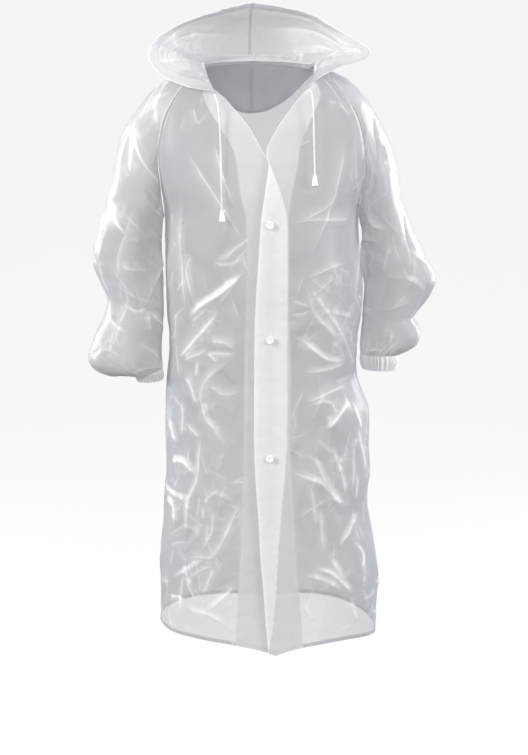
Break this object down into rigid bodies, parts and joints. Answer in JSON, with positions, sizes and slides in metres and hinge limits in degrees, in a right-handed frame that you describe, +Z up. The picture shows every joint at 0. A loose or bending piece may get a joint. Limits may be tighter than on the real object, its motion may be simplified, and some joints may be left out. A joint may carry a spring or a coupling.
{
  "type": "raincoat",
  "caption": "Long hooded raincoat of translucent frosted film, worn shape, hood laid back, snap front, elastic cuffs and drawstring hood.",
  "frame": {"origin": "middle of the neck opening at shoulder height, where the wearer's shoulders hold the coat", "axes": "+Z up, the front faces -Y, +X is the wearer's left"},
  "size_m": [0.6504, 0.3739, 1.182],
  "materials": {
    "film": "frosted translucent film, satin",
    "snap_plastic": "white moulded plastic",
    "cord_end_plastic": "white moulded plastic",
    "cord": "white braided cord"
  },
  "bodies": {
    "root": {"front_right": "film", "front_left": "film", "facing_right": "film", "facing_left": "film", "back": "film", "sleeve_right": "film", "sleeve_left": "film", "cuff_right": "film", "cuff_left": "film", "hood_right": "film", "hood_left": "film", "hood_casing": "film", "drawcord_right": "cord", "drawcord_left": "cord", "cord_end_right": "cord_end_plastic", "cord_end_left": "cord_end_plastic", "snap_cap_1": "snap_plastic", "snap_cap_2": "snap_plastic", "snap_cap_3": "snap_plastic", "snap_post_1": "snap_plastic", "snap_post_2": "snap_plastic", "snap_post_3": "snap_plastic"}
  },
  "joints": []
}
